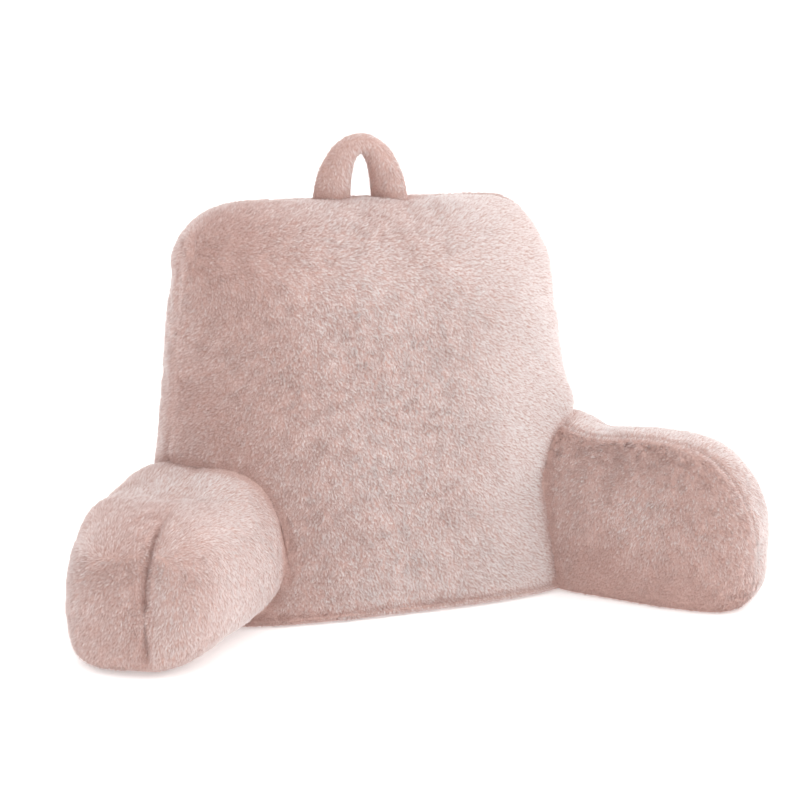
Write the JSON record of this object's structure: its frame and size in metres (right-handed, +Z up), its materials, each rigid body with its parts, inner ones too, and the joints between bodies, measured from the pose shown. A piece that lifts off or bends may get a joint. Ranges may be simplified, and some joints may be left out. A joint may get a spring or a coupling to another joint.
{
  "type": "reading pillow with arms",
  "caption": "Plush reading pillow: a stuffed wedge backrest with a rounded arm on each side and a carrying loop on top, standing on its flat sole.",
  "frame": {"origin": "Middle of the footprint, on the surface the pillow stands on: the bottom centre of the whole part's box.", "axes": "+Z up; -Y forward, the way the sitter faces; +X to the right of a person who looks at the front panel, and the part's longest side."},
  "size_m": [0.7869, 0.3553, 0.512],
  "materials": {
    "plush_backrest": "short dense blush-pink plush pile, matt with a soft sheen at grazing angles",
    "plush_arms": "short dense blush-pink plush pile, matt with a soft sheen at grazing angles",
    "plush_loop": "short dense blush-pink plush pile, brushed along the loop"
  },
  "bodies": {
    "root": {"backrest": "plush_backrest", "arm_left": "plush_arms", "arm_right": "plush_arms", "handle": "plush_loop"}
  },
  "joints": []
}
